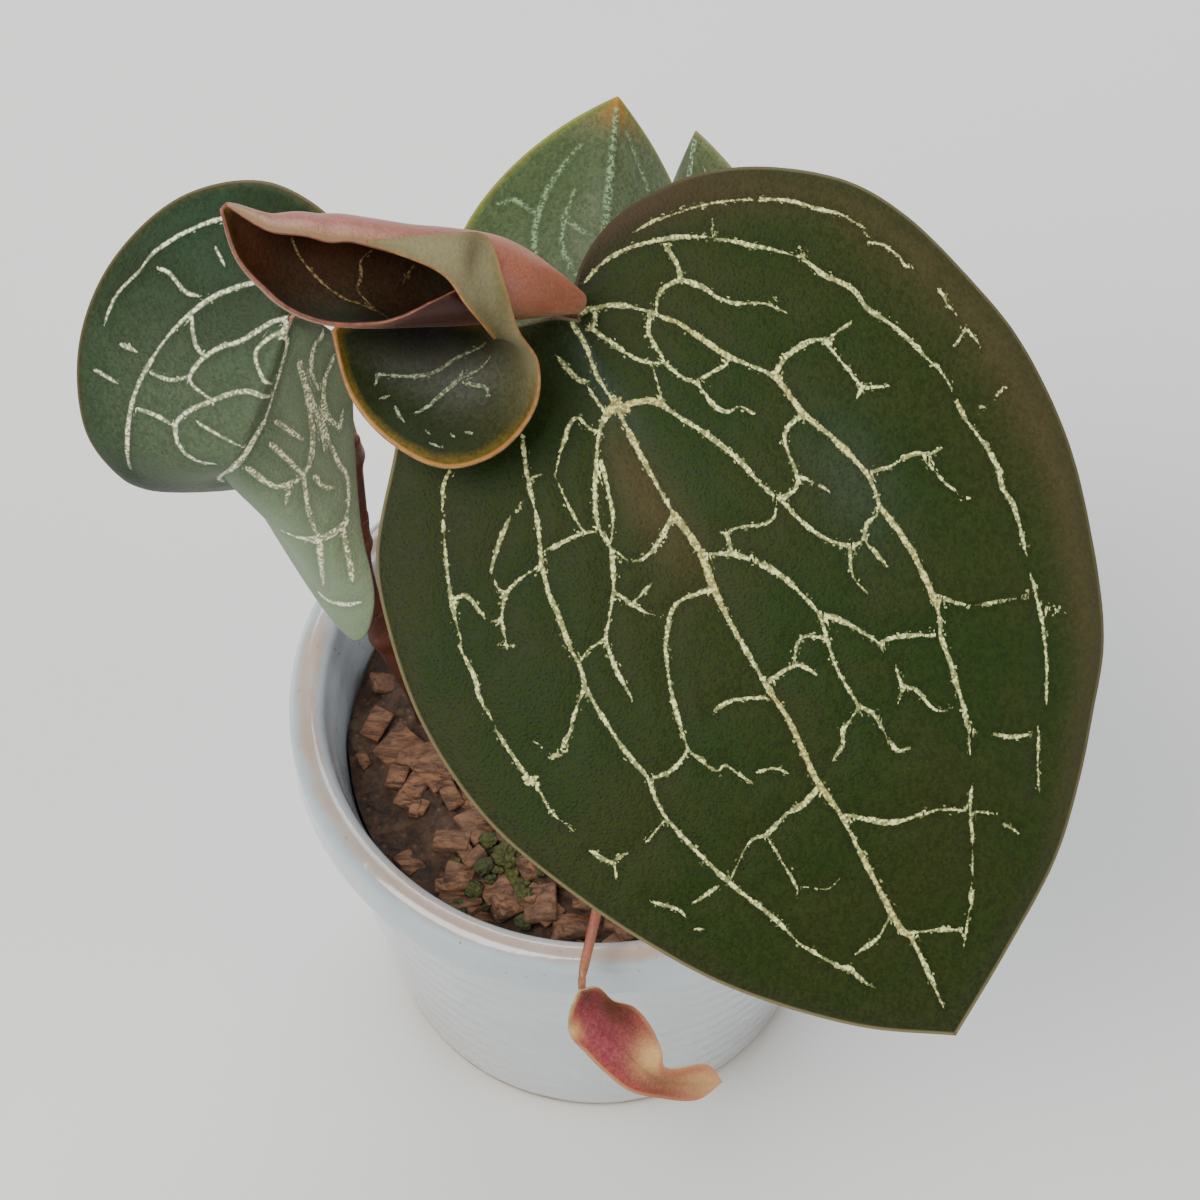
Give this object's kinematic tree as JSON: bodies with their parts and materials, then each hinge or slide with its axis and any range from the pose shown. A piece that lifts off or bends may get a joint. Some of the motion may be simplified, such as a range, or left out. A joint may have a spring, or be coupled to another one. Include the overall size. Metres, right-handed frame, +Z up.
{
  "type": "potted plant",
  "caption": "Small jewel orchid with heart-shaped, net-veined leaves, a rolled young leaf and a side shoot, growing in a round glazed pot.",
  "frame": {"origin": "centre of the pot's foot, on the surface it stands on", "axes": "+Z up, +Y to the back of the plant, away from the large leaf's tip"},
  "size_m": [0.0803, 0.0809, 0.1175],
  "materials": {
    "pot": "gloss",
    "substrate": "rough bark and moss",
    "stem": "satin",
    "leaf_velvet": "velvety",
    "leaf_pale": "satin",
    "leaf_young": "satin",
    "leaf_withered": "matt, dry"
  },
  "bodies": {
    "root": {"pot": "pot", "substrate": "substrate", "stem_main": "stem", "stem_side": "stem", "leaf_large": "leaf_velvet", "leaf_left": "leaf_velvet", "leaf_back": "leaf_pale", "leaf_far": "leaf_pale", "leaf_young": "leaf_young", "leaf_withered": "leaf_withered"}
  },
  "joints": []
}
